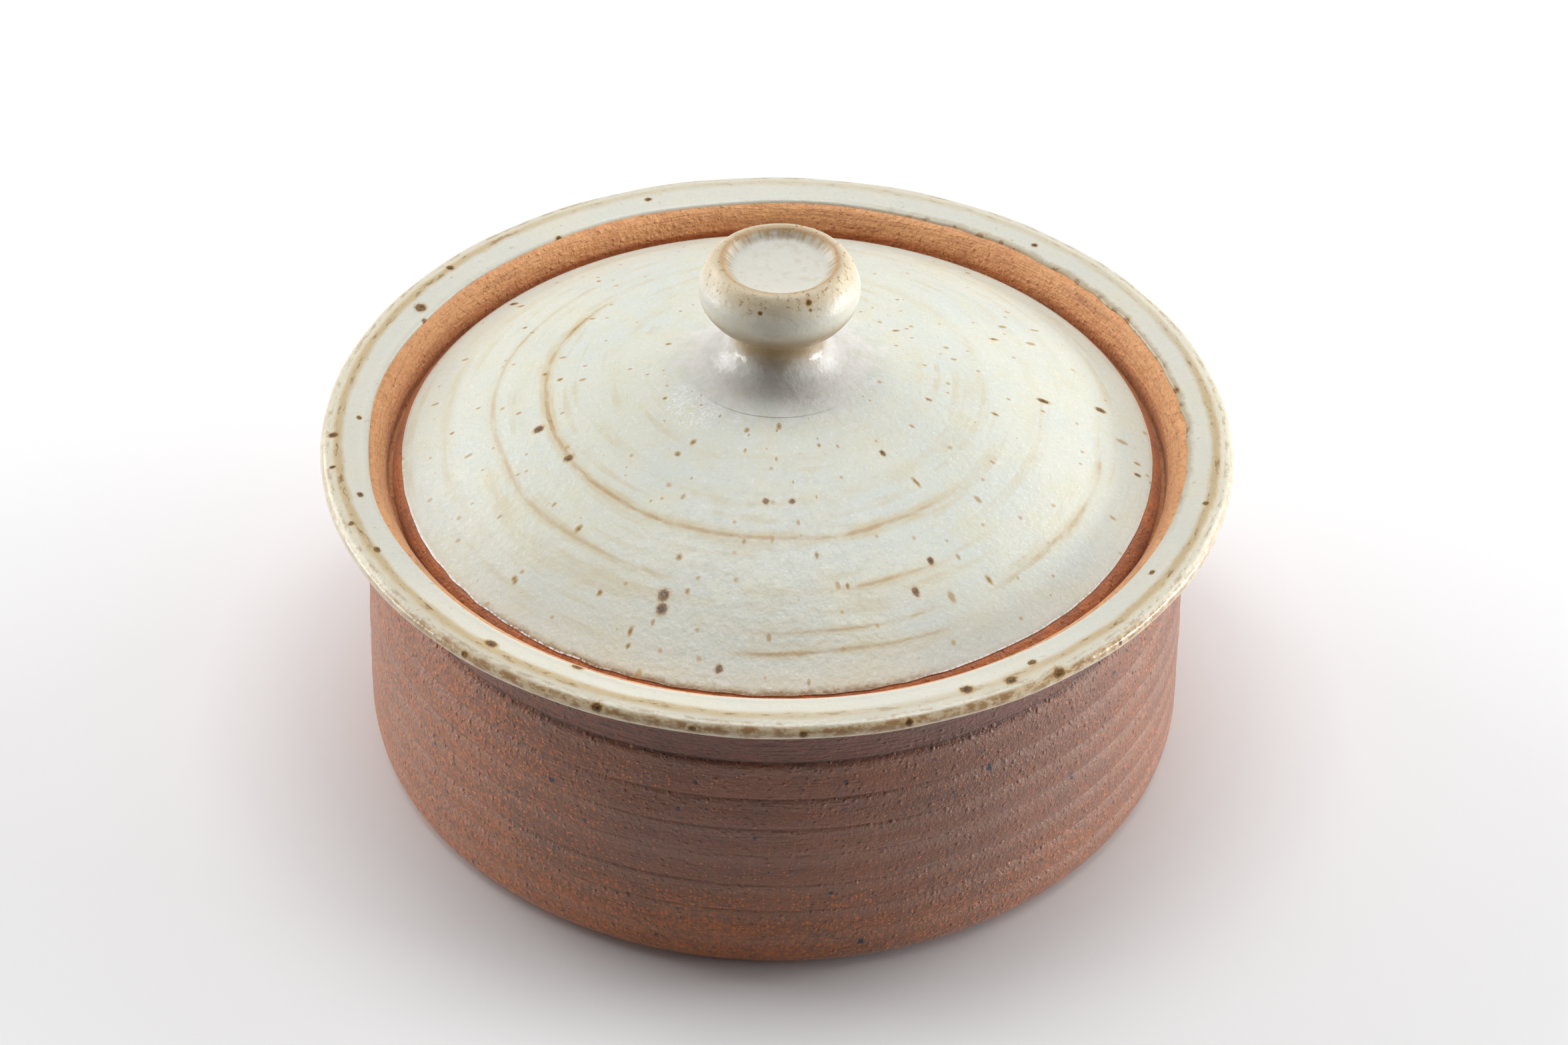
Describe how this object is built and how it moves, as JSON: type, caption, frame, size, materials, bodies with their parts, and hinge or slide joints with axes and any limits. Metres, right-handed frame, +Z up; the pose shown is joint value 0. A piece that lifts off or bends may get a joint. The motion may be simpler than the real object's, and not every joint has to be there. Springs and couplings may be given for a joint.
{
  "type": "lidded butter crock",
  "caption": "Low, wide wheel-thrown stoneware crock with a flanged rim, and a domed lid with a dished knob that drops into a gallery inside the rim.",
  "frame": {"origin": "middle of the underside of the foot ring, on the surface that the crock stands on", "axes": "+Z up along the wheel axis that all the pieces are turned about; the crock is round, so +X and +Y are free"},
  "size_m": [0.2154, 0.2154, 0.1283],
  "materials": {
    "unglazed_stoneware": "unglazed reddish-brown iron-rich stoneware, matt, with orange and blue-black flecks",
    "pale_glaze": "satin pale grey-green celadon glaze with tan throwing lines and brown iron specks"
  },
  "bodies": {
    "crock": {"crock_body": "unglazed_stoneware"},
    "lid": {"lid": "pale_glaze", "lid_knob": "pale_glaze"}
  },
  "joints": [
    {"name": "lid_lift", "type": "slide", "parent": "crock", "child": "lid", "axis": [0, 0, 1], "range_m": [0, 0.12]}
  ]
}
